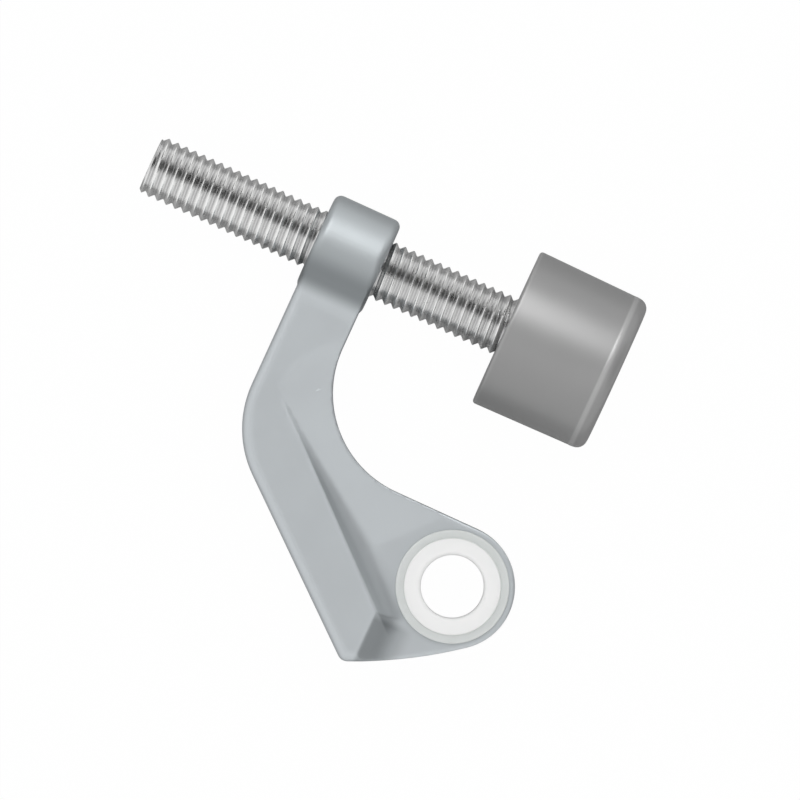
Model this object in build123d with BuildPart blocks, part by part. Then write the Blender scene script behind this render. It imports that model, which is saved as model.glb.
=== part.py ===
# Hinge pin door stop.
# A cast arm drops over a door hinge's pin at its eye, and a screwed stud with a soft bumper stops the door.
# Millimetres. Origin on the hinge pin's axis at the middle of the arm's thickness.
# X runs along the stud towards the bumper, Y from the eye up to the stud, Z along the hinge pin.
import os
from math import atan2, cos, degrees, radians, sin, sqrt, tan

from build123d import *

# Hinge pin and bush
pin_bore_radius = 4.1
bush_wall = 2.2
flange_width = 1.1
flange_thickness = 0.5
sleeve_rise = 0.3
bush_stand_out = 0.4
bush_edge = 0.25

# Eye and web
eye_wall = 1.85
web_thickness = 5.0
belly_radius = 60.0
belly_angle = -51.4

# Upright, elbow and pad
arm_thickness = 9.0
upright_width = 8.8
upright_x = -30.2
outer_elbow_radius = 14.0
outer_elbow_y = 13.1
inner_elbow_radius = 14.0
pad_slope = -40.0
tip_radius = 1.3
crease_start_x = -29.95
crease_start_y = 12.9
crease_end_x = -7.6
crease_end_y = -7.1
pad_wall_angle = 42.0
pad_foot_radius = 3.0
end_wall_angle = 52.0
end_foot_radius = 4.0
wall_overrun = 3.0
web_slope_length = 22.0

# Stud boss
stud_y = 33.6
boss_wall = 2.6
boss_overhang = 0.25
boss_edge = 1.0
boss_blend = 9.0
boss_mouth = 0.4
thread_clearance = 0.05

# Stud
thread_diameter = 8.0
thread_pitch = 1.25
thread_depth_ratio = 0.36
thread_root_ratio = 0.125
thread_flank_angle = 30.0
thread_left_reach = 23.6
shank_diameter = 7.2
lead_in = 0.9
head_diameter = 14.0
head_thickness = 3.0

# Bumper
bumper_back_gap = 17.9
bumper_length = 15.7
bumper_back_radius = 10.8
bumper_draft = 0.9
bumper_front_edge = 1.9
bumper_back_edge = 0.5
bumper_wall_behind_head = 5.0
bumper_fit = 0.05

# Edge rounding of the casting
outer_edge = 1.2

# Sizes that follow
arm_half = arm_thickness / 2
web_half = web_thickness / 2
bush_radius = pin_bore_radius + bush_wall
eye_radius = bush_radius + eye_wall
upright_left = upright_x - upright_width / 2
upright_right = upright_x + upright_width / 2
boss_length = upright_width + 2 * boss_overhang
boss_left = upright_x - boss_length / 2
boss_right = upright_x + boss_length / 2
bore_radius = thread_diameter / 2 + thread_clearance
boss_radius = bore_radius + boss_wall


def polar(center, radius, angle):
    """A point at an angle in degrees on a circle in the plan."""
    return (center[0] + radius * cos(radians(angle)), center[1] + radius * sin(radians(angle)))


# Plan of the arm: upright, outer elbow, pad edge, belly, eye, neck and inner elbow
outer_center = (upright_left + outer_elbow_radius, outer_elbow_y)
inner_center = (upright_right + inner_elbow_radius, eye_radius + inner_elbow_radius)
belly_center = polar((0, 0), eye_radius - belly_radius, belly_angle)
pad_start = polar(outer_center, outer_elbow_radius, 270 + pad_slope)
pad_way = (cos(radians(pad_slope)), sin(radians(pad_slope)))
to_start = (pad_start[0] - belly_center[0], pad_start[1] - belly_center[1])
along = to_start[0] * pad_way[0] + to_start[1] * pad_way[1]
off_circle = to_start[0] ** 2 + to_start[1] ** 2 - belly_radius**2
pad_reach = -along + sqrt(along**2 - off_circle)
tip = (pad_start[0] + pad_reach * pad_way[0], pad_start[1] + pad_reach * pad_way[1])
pad_middle = ((pad_start[0] + tip[0]) / 2, (pad_start[1] + tip[1]) / 2)
tip_bearing = degrees(atan2(tip[1] - belly_center[1], tip[0] - belly_center[0]))

with BuildSketch(Plane.XY.offset(-arm_half)) as plan:
    with BuildLine():
        Line((upright_left, stud_y), (upright_left, outer_elbow_y))
        CenterArc(outer_center, outer_elbow_radius, 180, 90 + pad_slope)
        Line(pad_start, tip)
        CenterArc(belly_center, belly_radius, tip_bearing, belly_angle - tip_bearing)
        CenterArc((0, 0), eye_radius, belly_angle, 90 - belly_angle)
        Line((0, eye_radius), (inner_center[0], eye_radius))
        CenterArc(inner_center, inner_elbow_radius, 270, -90)
        Line((upright_right, inner_center[1]), (upright_right, stud_y))
        Line((upright_right, stud_y), (upright_left, stud_y))
    make_face()
    fillet(plan.vertices().sort_by(Axis.Y)[0], radius=tip_radius)


# Recess beside the pad on the top face. The pad's two walls slant down to the web and end in a hollow foot.
# Along the crease the floor slopes, and the wall and its foot grow with it from nothing at the elbow.
# The cuts run on beyond the arm by its own length.
crease_angle = degrees(atan2(crease_end_y - crease_start_y, crease_end_x - crease_start_x))
web_depth = arm_half - web_half
beyond = eye_radius - upright_left
crease_start = Vector(crease_start_x, crease_start_y, arm_half)
crease_way = Vector(cos(radians(crease_angle)), sin(radians(crease_angle)), 0)
crease_out = Vector(-crease_way.Y, crease_way.X, 0)
along_crease = Plane(origin=crease_start, x_dir=crease_way, z_dir=-crease_out)
slope_end = Plane(origin=crease_start + crease_way * web_slope_length, x_dir=crease_out, z_dir=crease_way)
pad_end = Plane(origin=(crease_end_x, crease_end_y + wall_overrun, arm_half), x_dir=(1, 0, 0), z_dir=(0, -1, 0))


def pad_wall(wall_angle, foot_radius):
    """Draws a pad wall outwards from its crease, slanted and then hollow, and gives the end of its foot."""
    turn = radians(90 - wall_angle)
    drop = web_depth - foot_radius * (1 - cos(turn))
    foot = (drop * tan(radians(wall_angle)), -drop)
    floor = (foot[0] + foot_radius * sin(turn), -web_depth)
    Line((0, 0), foot)
    RadiusArc(foot, floor, -foot_radius)
    return floor


with BuildSketch(slope_end) as wall_body:
    with BuildLine():
        floor = pad_wall(pad_wall_angle, pad_foot_radius)
        Polyline(floor, (floor[0], -arm_half), (0, -arm_half), (0, 0))
    make_face()

with BuildSketch(slope_end) as beside_pad:
    with BuildLine():
        floor = pad_wall(pad_wall_angle, pad_foot_radius)
        Polyline(floor, (beyond, -web_depth), (beyond, arm_half), (0, arm_half), (0, 0))
    make_face()

with BuildSketch(pad_end) as past_pad:
    with BuildLine():
        floor = pad_wall(end_wall_angle, end_foot_radius)
        Polyline(floor, (beyond, -web_depth), (beyond, arm_half), (0, arm_half), (0, 0))
    make_face()

with BuildPart() as recess:
    with BuildSketch(along_crease):
        with BuildLine():
            Polyline((0, 0), (web_slope_length, -web_depth), (web_slope_length, arm_half), (0, arm_half), close=True)
        make_face()
    extrude(amount=-beyond)
    loft(sections=[Vertex(*crease_start), wall_body.sketch.face()], ruled=True, mode=Mode.SUBTRACT)
    extrude(beside_pad.sketch, amount=beyond)
    extrude(past_pad.sketch, amount=beyond)

# Side profile of the blend from the flat arm up to the round boss
blend_z = arm_half + boss_blend
blend_drop = sqrt((boss_radius + boss_blend) ** 2 - blend_z**2)
on_boss = boss_radius / (boss_radius + boss_blend)

with BuildPart() as boss:
    with BuildSketch(Plane(origin=(boss_left, stud_y, 0), z_dir=(1, 0, 0))):
        Circle(boss_radius)
    extrude(amount=boss_length)
    fillet(boss.edges().filter_by(GeomType.CIRCLE), radius=boss_edge)

with BuildPart() as arm:
    add(plan.sketch)
    extrude(amount=arm_thickness)
    with BuildSketch(Plane.YZ.offset(upright_left)):
        with BuildLine():
            side = Polyline((stud_y, 0), (stud_y - blend_drop, 0), (stud_y - blend_drop, arm_half))
            RadiusArc(side @ 1, (stud_y - blend_drop * on_boss, blend_z * on_boss), -boss_blend)
            Line((stud_y - blend_drop * on_boss, blend_z * on_boss), (stud_y, 0))
        make_face()
        mirror(about=Plane.XZ)
    extrude(amount=upright_width)
    add(recess.part, mode=Mode.SUBTRACT)
    mirror(recess.part, about=Plane.XY, mode=Mode.SUBTRACT)
    pad_edge = [arm.edges().sort_by_distance((*pad_middle, z))[0] for z in (arm_half, -arm_half)]
    fillet(pad_edge, radius=outer_edge)
    add(boss.part)
    with BuildSketch(Plane(origin=(boss_left, stud_y, 0), z_dir=(1, 0, 0))):
        Circle(bore_radius)
    extrude(amount=boss_length, mode=Mode.SUBTRACT)
    mouths = arm.edges().filter_by(GeomType.CIRCLE).filter_by(lambda edge: abs(edge.radius - bore_radius) < 0.001)
    chamfer(mouths, length=boss_mouth)
    with BuildSketch(Plane.XY.offset(-arm_half)):
        Circle(bush_radius)
    extrude(amount=arm_thickness, mode=Mode.SUBTRACT)

# Flanged bush in the eye, turned about the hinge pin's axis. Its sleeve stands a little higher than its flange.
with BuildPart() as pin_bush:
    with BuildSketch(Plane.XZ) as bush_section:
        with BuildLine():
            Polyline(
                (pin_bore_radius, -web_half - bush_stand_out),
                (bush_radius, -web_half - bush_stand_out),
                (bush_radius, web_half),
                (bush_radius + flange_width, web_half),
                (bush_radius + flange_width, web_half + flange_thickness),
                (bush_radius, web_half + flange_thickness),
                (bush_radius, web_half + flange_thickness + sleeve_rise),
                (pin_bore_radius, web_half + flange_thickness + sleeve_rise),
                close=True,
            )
        make_face()
        top_corners = bush_section.vertices().group_by(Axis.Y)[-1]
        chamfer(top_corners, length=bush_edge)
        chamfer(bush_section.vertices().group_by(Axis.Y)[0], length=bush_edge)
    revolve(axis=Axis.Z)

# Stud, turned about its own axis: thread from the free end to the bumper, then a plain shank and a round head
# inside the bumper. The thread has one groove for each turn.
stud_left = boss_left - thread_left_reach
bumper_back = boss_right + bumper_back_gap
head_back = bumper_back + bumper_wall_behind_head
head_front = head_back + head_thickness
stud_axis = Axis((0, stud_y, 0), (1, 0, 0))
crest_y = stud_y + thread_diameter / 2
root_y = crest_y - thread_depth_ratio * thread_pitch
flank = (crest_y - root_y) * tan(radians(thread_flank_angle))
groove_width = 2 * flank + thread_root_ratio * thread_pitch
first_groove = stud_left + lead_in + thread_pitch - groove_width
turns = int((bumper_back - first_groove) / thread_pitch)


def groove(x):
    """The four corners of one thread groove that starts at x."""
    return [(x, crest_y), (x + flank, root_y), (x + groove_width - flank, root_y), (x + groove_width, crest_y)]


with BuildPart() as threaded_stud:
    with BuildSketch(Plane.XY):
        with BuildLine():
            Polyline(
                (stud_left, stud_y),
                (stud_left, crest_y - lead_in),
                (stud_left + lead_in, crest_y),
                *[corner for turn in range(turns) for corner in groove(first_groove + turn * thread_pitch)],
                (bumper_back, crest_y),
                (bumper_back, stud_y + shank_diameter / 2),
                (head_back, stud_y + shank_diameter / 2),
                (head_back, stud_y + head_diameter / 2),
                (head_front, stud_y + head_diameter / 2),
                (head_front, stud_y),
                close=True,
            )
        make_face()
    revolve(axis=stud_axis)

# Bumper, turned about the stud's axis, hollow for the shank and the head
bumper_front = bumper_back + bumper_length
front_radius = bumper_back_radius - bumper_length * tan(radians(bumper_draft))
hollow_radius = shank_diameter / 2 + bumper_fit
head_room_radius = head_diameter / 2 + bumper_fit

with BuildPart() as bumper:
    with BuildSketch(Plane.XY) as bumper_section:
        with BuildLine():
            Polyline(
                (bumper_back, stud_y + hollow_radius),
                (bumper_back, stud_y + bumper_back_radius),
                (bumper_front, stud_y + front_radius),
                (bumper_front, stud_y),
                (head_front + bumper_fit, stud_y),
                (head_front + bumper_fit, stud_y + head_room_radius),
                (head_back - bumper_fit, stud_y + head_room_radius),
                (head_back - bumper_fit, stud_y + hollow_radius),
                close=True,
            )
        make_face()
        rim_corners = bumper_section.vertices().group_by(Axis.Y)
        fillet(rim_corners[-1], radius=bumper_back_edge)
        fillet(rim_corners[-2], radius=bumper_front_edge)
    revolve(axis=stud_axis)

os.makedirs("parts", exist_ok=True)
arm.part.label = "arm"
export_step(arm.part, "parts/arm.step")
pin_bush.part.label = "pin_bush"
export_step(pin_bush.part, "parts/pin_bush.step")
threaded_stud.part.label = "threaded_stud"
export_step(threaded_stud.part, "parts/threaded_stud.step")
bumper.part.label = "bumper"
export_step(bumper.part, "parts/bumper.step")
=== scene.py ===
"""Hinge pin door stop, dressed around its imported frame: cast arm, bush, screw, bumper. Metres."""

from math import asin, cos, pi, radians, sin

import bmesh
import bpy
from mathutils import Matrix, Vector


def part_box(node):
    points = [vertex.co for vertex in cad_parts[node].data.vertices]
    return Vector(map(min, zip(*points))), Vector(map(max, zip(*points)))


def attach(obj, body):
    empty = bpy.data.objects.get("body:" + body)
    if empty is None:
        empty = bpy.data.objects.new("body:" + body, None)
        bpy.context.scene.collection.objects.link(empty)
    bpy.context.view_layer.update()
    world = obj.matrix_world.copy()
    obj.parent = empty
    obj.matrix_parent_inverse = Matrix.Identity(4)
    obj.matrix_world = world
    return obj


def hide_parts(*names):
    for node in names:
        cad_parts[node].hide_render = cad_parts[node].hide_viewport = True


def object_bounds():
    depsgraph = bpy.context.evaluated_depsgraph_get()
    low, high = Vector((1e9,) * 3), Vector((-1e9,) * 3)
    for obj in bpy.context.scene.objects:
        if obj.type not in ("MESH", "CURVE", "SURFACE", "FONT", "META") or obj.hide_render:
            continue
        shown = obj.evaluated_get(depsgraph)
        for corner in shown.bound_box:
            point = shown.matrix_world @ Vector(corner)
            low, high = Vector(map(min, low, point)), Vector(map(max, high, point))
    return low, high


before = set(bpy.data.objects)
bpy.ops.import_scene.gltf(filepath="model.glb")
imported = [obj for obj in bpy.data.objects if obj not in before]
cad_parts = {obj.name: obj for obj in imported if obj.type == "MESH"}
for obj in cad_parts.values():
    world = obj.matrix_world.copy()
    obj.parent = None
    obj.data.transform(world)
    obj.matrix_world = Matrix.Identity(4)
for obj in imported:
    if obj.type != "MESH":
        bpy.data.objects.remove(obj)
cad_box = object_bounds()


# Arm.
# One zinc casting with a satin plated skin. The eye is bored for the bush and the boss for the
# screw. It is tumbled before it is plated, which rounds every edge a little.
mm = 0.001
arm_weld = 0.002 * mm
tumbled_voxel = 0.16 * mm
tumbled_passes = 6
tumbled_factor = 0.5
faces_kept = 0.6

# The crease is the foot of the pad's side, and starts with it at the elbow. The recess's floor
# folds away from the upright's face across that start.
crease_start = Vector((-29.95, 12.9, 0)) * mm
crease_way = Vector((22.35, -20.0, 0)).normalized()
crease_out = Vector((20.0, 22.35, 0)).normalized()
fold_reach = 5.0 * mm
floor_slope = 2 / 22
floor_height = 3.3 * mm

# Soft edges of the painted shade on the skin: the darker boss, and the shade under the boss, at the
# pad's end and in the trough beside the pad. Each runs from where it begins to where it is
# complete. The trough's are slopes off the crease, so that it widens from its start.
boss_foot = 26.5 * mm
boss_shade_rise = (boss_foot, 29.0 * mm)
shade_under_boss_fade = (30.0 * mm, 34.2 * mm)
pad_end_shade_rise = (-8.0 * mm, -7.2 * mm)
pad_end_shade_fall = (-4.8 * mm, -1.6 * mm)
pad_corner_shade_rise = (-8.2 * mm, -7.0 * mm)
trough_shade_rise = (0.0, 0.012)
trough_shade_fall = (0.04, 0.17)
pad_side_shade_rise = (1.0 * mm, 12.0 * mm)
pad_side_shade_fall = (31.0 * mm, 34.0 * mm)
shade_under_boss_share = 0.9
pad_end_shade_share = 0.6
trough_shade_share = 0.46

satin_dark = (0.535, 0.565, 0.585, 1)
satin_light = (0.57, 0.605, 0.625, 1)
# Painted shade: the boss and the hollows are painted darker than the flat arm.
satin_boss_shade = (0.44, 0.47, 0.485, 1)
satin_hollow_shade = (0.20, 0.217, 0.226, 1)
satin_metal = 0.6
satin_roughness = 0.46
cloud_size = 6 * mm
cloud_detail = 3.0
cloud_roughness = 0.06
peel_size = 0.25 * mm
peel_roughness = 0.05
peel_depth = 0.02 * mm
peel_strength = 0.06


class Value:
    """A socket on its way through a material, so that shader maths reads as an expression."""

    def __init__(self, finish, socket):
        self.finish = finish
        self.socket = socket

    def math(self, operation, first, second):
        return self.finish.node("ShaderNodeMath", {"operation": operation}, {0: first, 1: second})

    def __add__(self, other):
        return self.math("ADD", self, other)

    def __radd__(self, other):
        return self.math("ADD", other, self)

    def __sub__(self, other):
        return self.math("SUBTRACT", self, other)

    def __rsub__(self, other):
        return self.math("SUBTRACT", other, self)

    def __mul__(self, other):
        return self.math("MULTIPLY", self, other)

    def __rmul__(self, other):
        return self.math("MULTIPLY", other, self)

    def __truediv__(self, other):
        return self.math("DIVIDE", self, other)

    def __rtruediv__(self, other):
        return self.math("DIVIDE", other, self)


class Finish:
    """The nodes of a material, or of the world."""

    def __init__(self, owner):
        self.owner = owner
        owner.use_nodes = True
        self.tree = owner.node_tree
        self.tree.nodes.clear()

    def node(self, kind, settings=None, inputs=None, output=0):
        """Adds a node: its settings first, then the values or links of its sockets."""
        made = self.tree.nodes.new(kind)
        for name, setting in (settings or {}).items():
            setattr(made, name, setting)
        for name, value in (inputs or {}).items():
            if isinstance(value, Value):
                self.tree.links.new(value.socket, made.inputs[name])
            else:
                made.inputs[name].default_value = value
        return Value(self, made.outputs[output]) if made.outputs else None

    def place(self):
        return self.node("ShaderNodeTexCoord", output="Object")

    def along(self, axis):
        """How far a point lies along X, Y or Z."""
        return self.node("ShaderNodeSeparateXYZ", None, {"Vector": self.place()}, output=axis)

    def vector(self, operation, *vectors, output=0):
        """Maths on whole places and directions."""
        inputs = dict(enumerate(vectors))
        return self.node("ShaderNodeVectorMath", {"operation": operation}, inputs, output)

    def grain(self, size, detail=2.0):
        """Noise whose patches are about this size."""
        inputs = {"Vector": self.place(), "Scale": 1 / size, "Detail": detail}
        return self.node("ShaderNodeTexNoise", None, inputs)

    def rise(self, value, edge):
        """Rises smoothly from 0 where the edge begins to 1 where it is complete."""
        settings = {"interpolation_type": "SMOOTHSTEP"}
        inputs = {"Value": value, "From Min": edge[0], "From Max": edge[1]}
        return self.node("ShaderNodeMapRange", settings, inputs, output="Result")

    def band(self, value, edge, fade):
        """Rises over the edge and falls back over the fade."""
        return self.rise(value, edge) - self.rise(value, fade)

    def between(self, share, first, second):
        """A colour between two colours."""
        inputs = {0: share, 6: first, 7: second}
        return self.node("ShaderNodeMix", {"data_type": "RGBA"}, inputs, output=2)

    def bump(self, height, depth, strength):
        """A fine unevenness, which only turns the light."""
        inputs = {"Height": height, "Distance": depth, "Strength": strength}
        return self.node("ShaderNodeBump", None, inputs)

    def surface(self, **inputs):
        """Ends the material in a surface. Names are the sockets' own, with _ for a space."""
        sockets = {name.replace("_", " "): value for name, value in inputs.items()}
        self.end(self.node("ShaderNodeBsdfPrincipled", None, sockets))
        return self.owner

    def end(self, shader, kind="ShaderNodeOutputMaterial"):
        self.node(kind, None, {"Surface": shader})


def as_mesh(name, shape, offset=(0, 0, 0)):
    """Moves a finished shape to its place and gives its mesh."""
    bmesh.ops.translate(shape, vec=offset, verts=shape.verts)
    mesh = bpy.data.meshes.new(name)
    shape.to_mesh(mesh)
    shape.free()
    return mesh


def in_scene(name, data):
    """Puts a new object into the scene."""
    thing = bpy.data.objects.new(name, data)
    bpy.context.scene.collection.objects.link(thing)
    return thing


def add_piece(name, mesh, material, body, node):
    """Puts a finished mesh in the place of its CAD solid."""
    mesh.materials.clear()
    mesh.materials.append(material)
    mesh.shade_smooth()
    piece = in_scene(name, mesh)
    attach(piece, body)
    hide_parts(node)
    return piece


shape = bmesh.new()
shape.from_mesh(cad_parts["arm"].data)
bmesh.ops.remove_doubles(shape, verts=shape.verts, dist=arm_weld)
blank = in_scene("cast_blank", as_mesh("cast_arm", shape))
skin = blank.modifiers.new("skin", "REMESH")
skin.mode = "VOXEL"
skin.voxel_size = tumbled_voxel
tumbling = blank.modifiers.new("tumbling", "SMOOTH")
tumbling.factor = tumbled_factor
tumbling.iterations = tumbled_passes
thinning = blank.modifiers.new("thinning", "DECIMATE")
thinning.ratio = faces_kept
depsgraph = bpy.context.evaluated_depsgraph_get()
cast_mesh = bpy.data.meshes.new_from_object(blank.evaluated_get(depsgraph))
bpy.data.objects.remove(blank)

# The recess's floor leaves the upright's face in a gentle curve, on both faces
for vert in cast_mesh.vertices:
    from_start = Vector((vert.co.x, vert.co.y, 0)) - crease_start
    ahead = from_start.dot(crease_way) / fold_reach
    beside = min(max(from_start.dot(crease_out) / fold_reach, 0), 1)
    if -1 < ahead < 1 and vert.co.y < boss_foot and abs(vert.co.z) > floor_height:
        sink = floor_slope * fold_reach * ((ahead + 1) ** 2 / 4 - max(ahead, 0)) * beside
        vert.co.z -= sink if vert.co.z > 0 else -sink

satin = Finish(bpy.data.materials.new("satin_casting"))
clouds = satin.grain(cloud_size, cloud_detail)
peel = satin.grain(peel_size)
along_arm = satin.along("Y")
boss_shade_mask = satin.rise(along_arm, boss_shade_rise)
shade_under_boss_mask = boss_shade_mask - satin.rise(along_arm, shade_under_boss_fade)
pad_end_shade_mask = satin.band(satin.along("X"), pad_end_shade_rise, pad_end_shade_fall)
below_corner = 1 - satin.rise(along_arm, pad_corner_shade_rise)
from_crease = satin.vector("SUBTRACT", satin.place(), crease_start)
down_crease = satin.vector("DOT_PRODUCT", from_crease, crease_way, output="Value")
off_crease = satin.vector("DOT_PRODUCT", from_crease, crease_out, output="Value")
trough_shade_mask = satin.band(off_crease / down_crease, trough_shade_rise, trough_shade_fall)
beside_pad = satin.band(down_crease, pad_side_shade_rise, pad_side_shade_fall)
# Painted shade: darker under the boss, at the foot of the pad's end and in the trough beside the
# pad, where shade falls.
hollow_shade_mask = (
    shade_under_boss_share * shade_under_boss_mask
    + pad_end_shade_share * pad_end_shade_mask * below_corner
    + trough_shade_share * trough_shade_mask * beside_pad
)
# Painted shade: the whole boss is darker than the flat arm. The clouds are the plating's own uneven
# tone.
plating_and_boss_shade = satin.between(boss_shade_mask, satin.between(clouds, satin_dark, satin_light), satin_boss_shade)
uneven = cloud_roughness * (clouds - 0.5) + peel_roughness * (peel - 0.5)
arm_piece = add_piece(
    "cast_arm",
    cast_mesh,
    satin.surface(
        Base_Color=satin.between(hollow_shade_mask, plating_and_boss_shade, satin_hollow_shade),
        Metallic=satin_metal,
        Roughness=satin_roughness + uneven,
        Normal=satin.bump(peel, peel_depth, peel_strength),
    ),
    "arm",
    "arm",
)


# Bush.
# A turned nylon sleeve with a thin flange. It is pressed into the eye from above, and the hinge
# pin passes through it.
bush_low, bush_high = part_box("pin_bush")
pin_bore_radius = 4.1 * mm
sleeve_radius = 6.3 * mm
flange_radius = bush_high.x
flange_under = 2.5 * mm
flange_top = bush_high.z - 0.3 * mm
round_steps = 96
bevel_steps = 6
ring_weld = 0.001 * mm

# The sleeve is whiter than the flange, where the metal shows through
metal_edge = (sleeve_radius - 0.1 * mm, sleeve_radius + 0.1 * mm)
sleeve_dark = (0.90, 0.905, 0.90, 1)
sleeve_light = (0.93, 0.93, 0.925, 1)
flange_dark = (0.68, 0.71, 0.70, 1)
flange_light = (0.73, 0.755, 0.745, 1)
haze_size = 2.5 * mm
nylon_roughness = 0.35
haze_roughness = 0.1


def turned(corners, axis):
    """Turns a closed section round an axis. Each corner is (place along it, radius, rounding)."""
    along = Vector(axis)
    across = Vector((0, 1, 0))
    section = bmesh.new()
    verts = [section.verts.new(along * place + across * radius) for place, radius, _ in corners]
    section.faces.new(verts)
    for vert, (_, _, rounding) in reversed(list(zip(verts, corners))):
        if rounding:
            bmesh.ops.bevel(
                section,
                geom=[vert],
                offset=rounding,
                offset_type="OFFSET",
                affect="VERTICES",
                segments=bevel_steps,
                profile=0.5,
                material=-1,
            )
    outline = section.edges[:] + section.verts[:]
    bmesh.ops.delete(section, geom=section.faces[:], context="FACES_ONLY")
    bmesh.ops.spin(
        section,
        geom=outline,
        cent=(0, 0, 0),
        axis=along,
        angle=2 * pi,
        steps=round_steps,
        use_merge=True,
    )
    bmesh.ops.remove_doubles(section, verts=section.verts, dist=ring_weld)
    bmesh.ops.recalc_face_normals(section, faces=section.faces)
    return section


bush_section = [
    (bush_low.z, pin_bore_radius, 0.25 * mm),
    (bush_low.z, sleeve_radius, 0.2 * mm),
    (flange_under, sleeve_radius, 0),
    (flange_under, flange_radius, 0.1 * mm),
    (flange_top, flange_radius, 0.2 * mm),
    (flange_top, sleeve_radius, 0.08 * mm),
    (bush_high.z, sleeve_radius, 0.15 * mm),
    (bush_high.z, pin_bore_radius, 0.6 * mm),
]
nylon = Finish(bpy.data.materials.new("bush_nylon"))
haze = nylon.grain(haze_size)
beside_pin = nylon.vector("MULTIPLY", nylon.place(), (1, 1, 0))
from_pin = nylon.vector("LENGTH", beside_pin, output="Value")
over_metal = nylon.rise(from_pin, metal_edge)
sleeve_white = nylon.between(haze, sleeve_dark, sleeve_light)
flange_grey = nylon.between(haze, flange_dark, flange_light)
add_piece(
    "nylon_bush",
    as_mesh("nylon_bush", turned(bush_section, (0, 0, 1))),
    nylon.surface(
        Base_Color=nylon.between(over_metal, sleeve_white, flange_grey),
        Subsurface_Weight=0.9,
        Subsurface_Radius=(1, 1, 1),
        Subsurface_Scale=1.0 * mm,
        Roughness=nylon_roughness + haze_roughness * haze,
    ),
    "arm",
    "pin_bush",
)


# Screw.
# A steel rod with a rolled M8 thread up to the bumper, then a plain shank and a round head, which
# the bumper is moulded round. It screws through the boss.
screw_low, screw_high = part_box("threaded_stud")
bumper_low, bumper_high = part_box("bumper")
screw_y = (screw_low.y + screw_high.y) / 2
crest_radius = 4.0 * mm
pitch = 1.25 * mm
thread_depth = 0.52 * mm
corner_sharpness = 0.92
thread_start = -1.31 * pitch
spare_turns = 3
lead_in = 0.5 * mm
shank_radius = 3.6 * mm
head_radius = (screw_high.y - screw_low.y) / 2
head_back = screw_high.x - 3.0 * mm
profile_steps = 18
turn_steps = 72
thread_weld = 0.004 * mm

# The grooves between the crests are painted darker, a painted shade, and the crests are rolled
# smooth
crest_edge = (crest_radius - 0.75 * thread_depth, crest_radius - 0.3 * thread_depth)
steel_groove_shade = (0.66, 0.66, 0.66, 1)
steel_dark = (0.84, 0.84, 0.835, 1)
steel_light = (0.92, 0.92, 0.915, 1)
streak_size = 0.8 * mm
steel_roughness = 0.24
streak_roughness = 0.08


def below_crest(share):
    """Depth at a share of the pitch past a crest, with straight flanks and rounded corners."""
    wave = asin(corner_sharpness * cos(2 * pi * share)) / asin(corner_sharpness)
    return thread_depth * (1 - wave) / 2


def cut_across(shape, x, away):
    """Cuts the thread square at x, takes off the side that away points to, and gives the rim."""
    cut = bmesh.ops.bisect_plane(
        shape,
        geom=shape.verts[:] + shape.edges[:] + shape.faces[:],
        plane_co=(x, 0, 0),
        plane_no=(away, 0, 0),
        clear_outer=True,
    )
    return [part for part in cut["geom_cut"] if isinstance(part, bmesh.types.BMEdge)]


def drawn_to(shape, rim, x, radius):
    """Draws a round rim on to a new place and radius."""
    made = bmesh.ops.extrude_edge_only(shape, edges=rim)["geom"]
    for vert in (part for part in made if isinstance(part, bmesh.types.BMVert)):
        way = Vector((0, vert.co.y, vert.co.z)).normalized()
        vert.co = way * radius + Vector((x, 0, 0))
    return [part for part in made if isinstance(part, bmesh.types.BMEdge)]


# The thread's outline moves on by a pitch as it turns once, which makes a right-hand thread. It
# starts outside the free end and has a few turns more than are left after the cuts.
shares = [step / profile_steps for step in range(1, profile_steps + 1)]
turns = int((bumper_low.x - screw_low.x) / pitch) + spare_turns
outline = [
    ((turn + share) * pitch, crest_radius - below_crest(share))
    for turn in range(turns)
    for share in shares
]
shape = bmesh.new()
verts = [shape.verts.new((x, radius, 0)) for x, radius in outline]
edges = [shape.edges.new(pair) for pair in zip(verts, verts[1:])]
bmesh.ops.spin(
    shape,
    geom=verts + edges,
    cent=(0, 0, 0),
    axis=(1, 0, 0),
    dvec=(pitch / turn_steps, 0, 0),
    angle=2 * pi,
    steps=turn_steps,
    use_merge=False,
)
bmesh.ops.remove_doubles(shape, verts=shape.verts, dist=thread_weld)
bmesh.ops.translate(shape, vec=(screw_low.x + thread_start, 0, 0), verts=shape.verts)

# The free end is cut square, its crests are chamfered and it is closed
free_end = cut_across(shape, screw_low.x, -1)
for vert in shape.verts:
    limit = crest_radius - lead_in + (vert.co.x - screw_low.x)
    radius = Vector((vert.co.y, vert.co.z)).length
    if radius > limit:
        vert.co.y *= limit / radius
        vert.co.z *= limit / radius
bmesh.ops.contextual_create(shape, geom=free_end)

# The other end goes on as the shank and the head
rim = cut_across(shape, bumper_low.x, 1)
for x, radius in (
    (bumper_low.x, shank_radius),
    (head_back, shank_radius),
    (head_back, head_radius),
    (screw_high.x, head_radius),
):
    rim = drawn_to(shape, rim, x, radius)
bmesh.ops.contextual_create(shape, geom=rim)
bmesh.ops.recalc_face_normals(shape, faces=shape.faces)

steel = Finish(bpy.data.materials.new("rolled_steel"))
streaks = steel.grain(streak_size)
off_axis = steel.vector("SUBTRACT", steel.place(), (0, screw_y, 0))
beside_axis = steel.vector("MULTIPLY", off_axis, (0, 1, 1))
from_axis = steel.vector("LENGTH", beside_axis, output="Value")
# Painted shade: the grooves are darker than the crests.
on_crest = steel.rise(from_axis, crest_edge)
polished = steel.between(streaks, steel_dark, steel_light)
add_piece(
    "rolled_screw",
    as_mesh("rolled_screw", shape, (0, screw_y, 0)),
    steel.surface(
        Base_Color=steel.between(on_crest, steel_groove_shade, polished),
        Metallic=1.0,
        Roughness=steel_roughness + streak_roughness * streaks,
    ),
    "stud",
    "threaded_stud",
)


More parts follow.
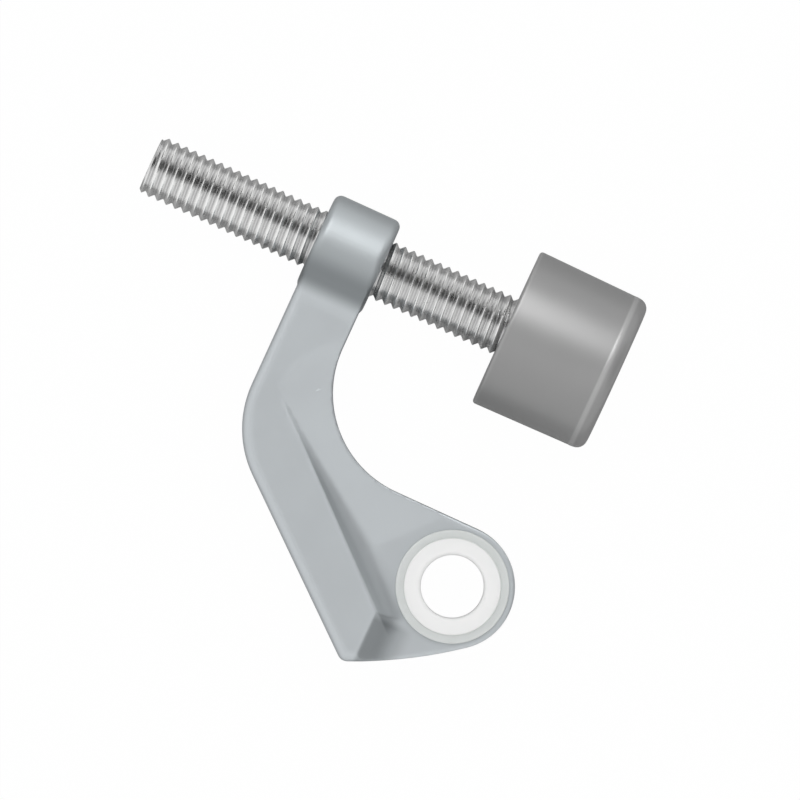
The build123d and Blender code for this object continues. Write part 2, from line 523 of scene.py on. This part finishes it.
# Bumper.
# A moulded cap of hard grey rubber, which takes the door's knock. It is moulded round the screw's
# head, tapers a little, and has a low seam near its front where the mould's halves met.
bumper_back_radius = (bumper_high.y - bumper_low.y) / 2
bumper_taper = sin(radians(0.9))
seam_middle = bumper_high.x - 1.77 * mm
seam_start = seam_middle - 0.3 * mm
seam_end = seam_middle + 0.32 * mm
seam_rise = 0.05 * mm

# The seam and the back rim are painted paler, a painted highlight on each
seam_highlight_rise = (seam_middle - 0.5 * mm, seam_middle - 0.2 * mm)
seam_highlight_fall = (seam_middle + 0.1 * mm, seam_middle + 0.5 * mm)
back_rim_highlight_fall = (bumper_low.x + 0.25 * mm, bumper_low.x + 0.65 * mm)
back_rim_highlight_share = 0.45
rubber_dark = (0.237, 0.237, 0.237, 1)
rubber_light = (0.255, 0.255, 0.255, 1)
rubber_highlight_grey = (0.36, 0.36, 0.36, 1)
rubber_roughness = 0.38
bloom_size = 5 * mm
bloom_detail = 3.0
bloom_roughness = 0.06
pore_size = 0.3 * mm
pore_roughness = 0.05
pore_depth = 0.02 * mm
pore_strength = 0.05


def bumper_radius(x):
    return bumper_back_radius - bumper_taper * (x - bumper_low.x)


bumper_section = [
    (bumper_low.x, 0, 0),
    (bumper_low.x, bumper_back_radius, 0.45 * mm),
    (seam_start, bumper_radius(seam_start), 0.05 * mm),
    (seam_middle, bumper_radius(seam_middle) + seam_rise, 0.22 * mm),
    (seam_end, bumper_radius(seam_end), 0.05 * mm),
    (bumper_high.x, bumper_radius(bumper_high.x), 1.4 * mm),
    (bumper_high.x, 0, 0),
]
rubber = Finish(bpy.data.materials.new("grey_rubber"))
bloom = rubber.grain(bloom_size, bloom_detail)
pores = rubber.grain(pore_size)
along_bumper = rubber.along("X")
seam_highlight_mask = rubber.band(along_bumper, seam_highlight_rise, seam_highlight_fall)
back_rim_highlight_mask = 1 - rubber.rise(along_bumper, back_rim_highlight_fall)
# Painted highlight: the seam and the back rim are paler than the rest of the rubber.
paler_by_highlight = seam_highlight_mask + back_rim_highlight_share * back_rim_highlight_mask
even_grey = rubber.between(bloom, rubber_dark, rubber_light)
uneven = bloom_roughness * (bloom - 0.5) + pore_roughness * (pores - 0.5)
bumper_piece = add_piece(
    "moulded_bumper",
    as_mesh("moulded_bumper", turned(bumper_section, (1, 0, 0)), (0, screw_y, 0)),
    rubber.surface(
        Base_Color=rubber.between(paler_by_highlight, even_grey, rubber_highlight_grey),
        Roughness=rubber_roughness + uneven,
        Specular_IOR_Level=1.0,
        Normal=rubber.bump(pores, pore_depth, pore_strength),
    ),
    "bumper",
    "bumper",
)


# Floor and background.
# The stop lies on white paper, with an even white room round it. The camera and the metal see
# both as plain white. Other light finds paper, which keeps the stop's shadow, and a dimmer room.
picture_centre = Vector((-16.25, 19.2, 0)) * mm
floor_drop = 0.05 * mm
floor_reach = 2.0
paper_white = (0.8, 0.8, 0.8, 1)
plain_white = (1, 1, 1, 1)
seen_level = 1.0
seen_share = 0.985
room_level = 0.5


def looked_at(finish):
    """Is 1 where the camera looks, straight or in a reflection, and 0 for the light on the stop."""
    kinds = ("Is Camera Ray", "Is Glossy Ray", "Is Transmission Ray")
    seen, mirrored, refracted = (finish.node("ShaderNodeLightPath", output=kind) for kind in kinds)
    return seen + mirrored + refracted


shape = bmesh.new()
bmesh.ops.create_grid(shape, x_segments=1, y_segments=1, size=floor_reach)
floor_place = picture_centre + Vector((0, 0, cad_box[0].z - floor_drop))
floor = in_scene("floor", as_mesh("floor", shape, floor_place))
paper = Finish(bpy.data.materials.new("white_paper"))
lit = paper.node("ShaderNodeBsdfDiffuse", None, {"Color": paper_white})
glow = paper.node("ShaderNodeEmission", None, {"Color": plain_white, "Strength": seen_level})
mixed = {0: seen_share * looked_at(paper), 1: lit, 2: glow}
paper.end(paper.node("ShaderNodeMixShader", None, mixed))
floor.data.materials.append(paper.owner)

room = Finish(bpy.data.worlds.new("studio"))
bpy.context.scene.world = room.owner
levels = {"Value": looked_at(room), "To Min": room_level, "To Max": seen_level}
level = room.node("ShaderNodeMapRange", None, levels, output="Result")
background = room.node("ShaderNodeBackground", None, {"Color": plain_white, "Strength": level})
room.end(background, "ShaderNodeOutputWorld")


# Lamps and cards.
# A soft lamp at the top of the picture and one overhead light the stop. Two sheen lamps give only
# gloss. Felt cards, out of the camera's sight, give the metal its dark bands and rims.
picture_right = Vector((0.909, 0.416, 0)).normalized()
picture_up = Vector((-0.416, 0.909, 0)).normalized()
picture_out = Vector((0, 0, 1))
black = (0.03, 0.03, 0.03, 1)
grey = (0.40, 0.40, 0.40, 1)
under_card_drop = 0.03 * mm


def facing_stop(right, up, out):
    """Stands something at a place in the picture's own directions, with its face to the stop."""
    place = picture_right * right + picture_up * up + picture_out * out
    back = place.normalized()
    over = (picture_up - back * picture_up.dot(back)).normalized()
    turn = Matrix((over.cross(back), over, back)).transposed().to_4x4()
    return Matrix.Translation(picture_centre + place) @ turn


def softbox(name, up, out, width, height, radiance, shines_on=()):
    """A lamp of even radiance. It shines on everything, or else only on the pieces named."""
    lamp = bpy.data.lights.new(name, "AREA")
    lamp.shape = "RECTANGLE"
    lamp.size = width
    lamp.size_y = height
    lamp.energy = radiance * pi * width * height
    stand = in_scene(name, lamp)
    stand.matrix_world = facing_stop(0, up, out)
    if shines_on:
        stand.light_linking.receiver_collection = bpy.data.collections.new(name)
        for piece in shines_on:
            stand.light_linking.receiver_collection.objects.link(piece)
    return stand


def felt(name, colour):
    """A felt of one even colour."""
    made = Finish(bpy.data.materials.new(name))
    made.end(made.node("ShaderNodeBsdfDiffuse", None, {"Color": colour}))
    return made.owner


top = softbox("top_light", up=0.54, out=0.60, width=0.45, height=0.50, radiance=1.1)
top.visible_glossy = False
sheen = softbox(
    "sheen_light",
    up=0.28,
    out=0.31,
    width=0.25,
    height=0.27,
    radiance=3.7,
    shines_on=[arm_piece, bumper_piece],
)
sheen.visible_diffuse = False
gloss = softbox(
    "gloss_light",
    up=0.27,
    out=0.30,
    width=0.25,
    height=0.27,
    radiance=3.6,
    shines_on=[bumper_piece],
)
gloss.visible_diffuse = False
overhead = softbox("overhead_light", up=0.0, out=1.0, width=0.9, height=0.9, radiance=1.8)
overhead.visible_glossy = False
overhead.visible_camera = False

# Only the metal sees the cards. They cast no shadow and darken nothing else.
black_felt = felt("black_felt", black)
grey_felt = felt("grey_felt", grey)
for name, right, up, out, width, height, material in (
    ("overhead_card", 0.07, 0.14, 0.50, 0.70, 0.42, black_felt),
    ("far_card", -0.30, 0.65, 0.20, 1.10, 0.44, black_felt),
    ("right_card", 0.50, -0.10, 0.20, 0.80, 0.40, black_felt),
    ("under_card", 0.0, 0.0, cad_box[0].z - under_card_drop, 0.14, 0.13, grey_felt),
):
    shape = bmesh.new()
    bmesh.ops.create_grid(shape, x_segments=1, y_segments=1, size=0.5)
    bmesh.ops.scale(shape, vec=(width, height, 1), verts=shape.verts)
    bmesh.ops.transform(shape, matrix=facing_stop(right, up, out), verts=shape.verts)
    card = in_scene(name, as_mesh(name, shape))
    card.data.materials.append(material)
    card.visible_camera = False
    card.visible_diffuse = False
    card.visible_shadow = False


# Camera.
# It has a long lens and looks straight down on the stop, turned as the picture is. Its distance
# makes picture_width fill the picture.
picture_width = 103.95 * mm
camera = bpy.data.cameras.new("camera")
camera.lens = 600
camera.sensor_width = 36
camera.clip_start = 0.01
camera.clip_end = 20
distance = picture_width * camera.lens / camera.sensor_width
facing = Matrix((picture_right, picture_up, picture_out)).transposed().to_4x4()
viewpoint = in_scene("camera", camera)
viewpoint.matrix_world = Matrix.Translation(picture_centre + picture_out * distance) @ facing
bpy.context.scene.camera = viewpoint
bpy.context.scene.view_settings.view_transform = "Standard"

bpy.context.view_layer.update()
